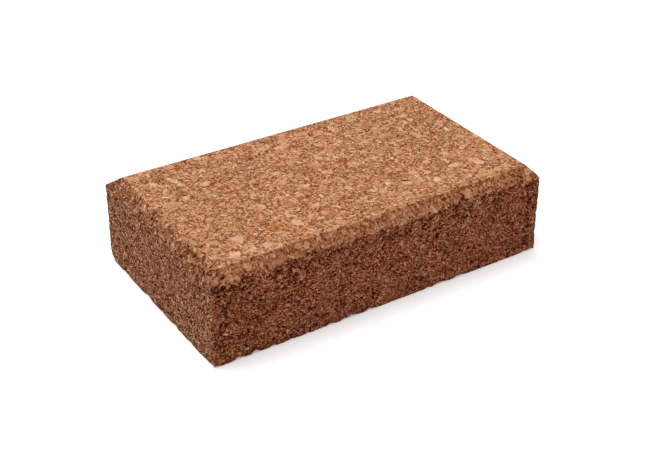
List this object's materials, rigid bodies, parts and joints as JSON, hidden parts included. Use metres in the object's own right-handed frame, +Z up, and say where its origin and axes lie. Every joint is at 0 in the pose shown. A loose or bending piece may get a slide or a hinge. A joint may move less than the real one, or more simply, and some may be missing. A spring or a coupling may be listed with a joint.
{
  "type": "sanding block",
  "caption": "Flat rectangular hand sanding block of composition cork, with bevelled top edges and a flat sole that a sheet of abrasive paper is wrapped round.",
  "frame": {"origin": "centre of the sole, the flat face that the block stands on", "axes": "+X along the length, +Y across the width, +Z up from the sole to the bevelled top"},
  "size_m": [0.11, 0.0624, 0.028],
  "materials": {
    "cork_body": "matt bonded cork, pressed and sawn, with open pits between the granules",
    "pale_granules": "matt, pale cream cork",
    "amber_granules": "matt, orange-tan cork",
    "russet_granules": "matt, red-brown cork",
    "bark_granules": "matt, dark brown bark of the cork oak"
  },
  "bodies": {
    "root": {"cork_body": "cork_body", "pale_granules": "pale_granules", "amber_granules": "amber_granules", "russet_granules": "russet_granules", "bark_granules": "bark_granules"}
  },
  "joints": []
}
